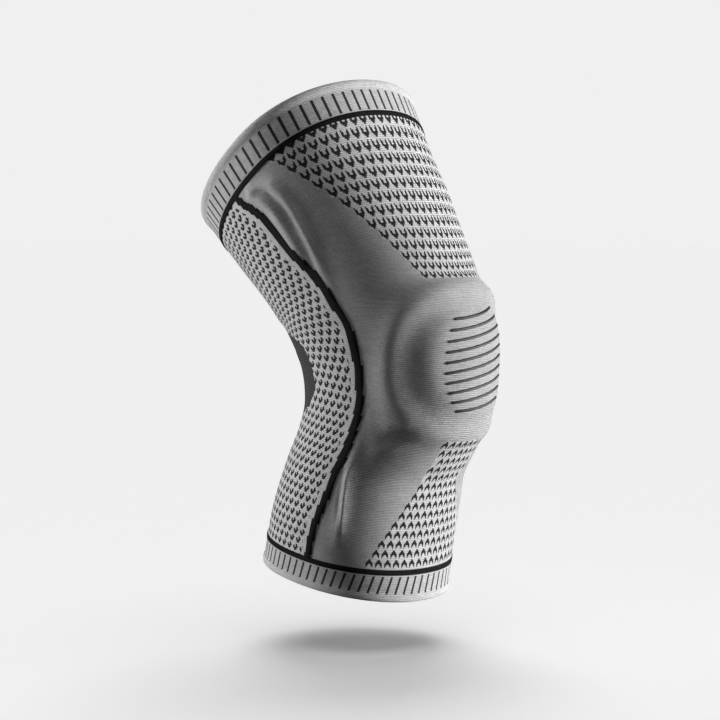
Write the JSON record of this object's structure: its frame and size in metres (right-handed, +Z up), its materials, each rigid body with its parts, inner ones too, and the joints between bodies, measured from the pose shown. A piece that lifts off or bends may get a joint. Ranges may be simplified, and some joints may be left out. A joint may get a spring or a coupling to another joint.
{
  "type": "knee sleeve",
  "caption": "Knitted compression knee sleeve on a bent knee, open at both ends, with a padded kneecap ring, side stays and ribbed cuffs.",
  "frame": {"origin": "centre of the knee inside the sleeve, where it sits on the leg", "axes": "+Z up the leg, -Y out of the kneecap, +X to the wearer's left"},
  "size_m": [0.1498, 0.1902, 0.3097],
  "materials": {
    "pale_knit": "light grey knitted nylon and elastane, matte",
    "plain_knit": "mid grey plain knit, matte",
    "pattern_knit": "light grey and black two-colour knit in small checks, matte",
    "black_knit": "black raised knit, matte",
    "black_mesh": "thin black open mesh knit",
    "soft_gel": "soft grey silicone gel",
    "spring_steel": "flat spring steel"
  },
  "bodies": {
    "root": {"thigh_cuff": "pale_knit", "thigh_trim_band": "black_knit", "thigh_front_panel": "pattern_knit", "knee_panel": "plain_knit", "calf_front_panel": "pattern_knit", "back_panel": "pale_knit", "popliteal_panel": "black_mesh", "side_trim_right": "black_knit", "side_trim_left": "black_knit", "calf_trim_band": "black_knit", "calf_cuff": "pale_knit", "patella_pad": "soft_gel", "side_stay_right": "spring_steel", "side_stay_left": "spring_steel", "knee_line_1": "black_knit", "knee_line_2": "black_knit", "knee_line_3": "black_knit", "knee_line_4": "black_knit", "knee_line_5": "black_knit", "knee_line_6": "black_knit", "knee_line_7": "black_knit", "knee_line_8": "black_knit", "knee_line_9": "black_knit", "knee_line_10": "black_knit"}
  },
  "joints": []
}
